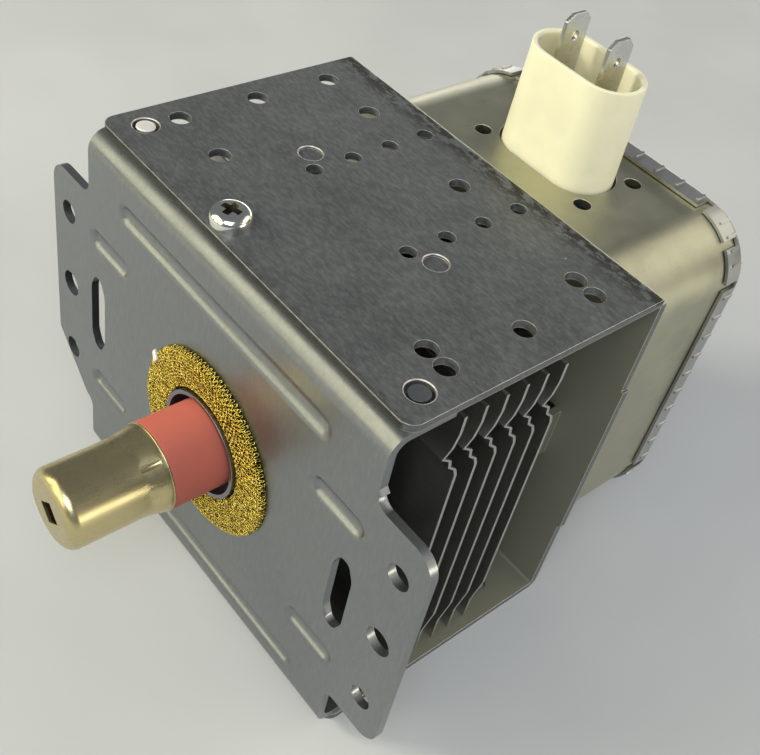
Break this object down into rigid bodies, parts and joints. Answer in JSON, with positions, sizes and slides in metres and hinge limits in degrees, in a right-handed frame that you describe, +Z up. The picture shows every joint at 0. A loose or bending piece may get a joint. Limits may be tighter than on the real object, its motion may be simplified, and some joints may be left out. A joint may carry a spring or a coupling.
{
  "type": "magnetron",
  "caption": "Microwave-oven magnetron: capped antenna on an eared mounting plate, finned tube in a folded steel yoke, filter box with an oval terminal connector.",
  "frame": {"origin": "antenna axis at the front face of the mounting plate", "axes": "+X right as the mounting face is seen from the antenna's side with the terminals up, +Y to the rear along the antenna axis, towards the filter box, +Z up towards the terminals; the antenna points along -Y"},
  "size_m": [0.1048, 0.121, 0.1031],
  "materials": {
    "cap_metal": "satin nickel plate on a drawn cup",
    "seal_steel": "bright nickel-plated steel",
    "copper": null,
    "pink_ceramic": "matt alumina, tinted pink",
    "white_ceramic": "matt alumina",
    "brass_mesh": "knitted brass wire",
    "plated_steel": "zinc-plated sheet, semi-gloss and a little cloudy",
    "zinc_screw": "bright zinc",
    "ferrite": "matt black ferrite",
    "tungsten": null,
    "tin_plate": "bright tin plate",
    "fin_aluminium": "mill finish, thin sheet",
    "box_steel": "tin-plated drawn sheet, semi-gloss",
    "ivory_plastic": "ivory moulding, semi-matt",
    "blue_resin": "cast resin"
  },
  "bodies": {
    "root": {"antenna_cap": "cap_metal", "output_top_seal": "seal_steel", "exhaust_tube": "copper", "antenna_lead": "copper", "output_ceramic": "pink_ceramic", "output_seal_cup": "seal_steel", "rf_gasket": "brass_mesh", "front_yoke": "plated_steel", "rear_yoke": "plated_steel", "yoke_screw": "zinc_screw", "front_magnet": "ferrite", "rear_magnet": "ferrite", "anode_cylinder": "copper", "anode_vane_1": "copper", "anode_vane_2": "copper", "anode_vane_3": "copper", "anode_vane_4": "copper", "anode_vane_5": "copper", "anode_vane_6": "copper", "anode_vane_7": "copper", "anode_vane_8": "copper", "anode_vane_9": "copper", "anode_vane_10": "copper", "front_inner_strap": "copper", "front_outer_strap": "copper", "rear_inner_strap": "copper", "rear_outer_strap": "copper", "front_pole_piece": "seal_steel", "rear_pole_piece": "seal_steel", "filament": "tungsten", "front_end_hat": "tungsten", "rear_end_hat": "tungsten", "centre_lead": "tungsten", "side_lead": "tungsten", "cathode_seal_cup": "seal_steel", "stem_ceramic": "white_ceramic", "stem_terminal_left": "tin_plate", "stem_terminal_right": "tin_plate", "cooling_fin_1": "fin_aluminium", "cooling_fin_2": "fin_aluminium", "cooling_fin_3": "fin_aluminium", "cooling_fin_4": "fin_aluminium", "cooling_fin_5": "fin_aluminium", "cooling_fin_6": "fin_aluminium", "filter_box": "box_steel", "filter_lid": "box_steel", "capacitor_housing": "ivory_plastic", "capacitor_flange": "tin_plate", "capacitor_body": "blue_resin", "terminal_blade_left": "tin_plate", "terminal_blade_right": "tin_plate", "choke_coil_left": "copper", "choke_coil_right": "copper", "choke_core_left": "ferrite", "choke_core_right": "ferrite"}
  },
  "joints": []
}
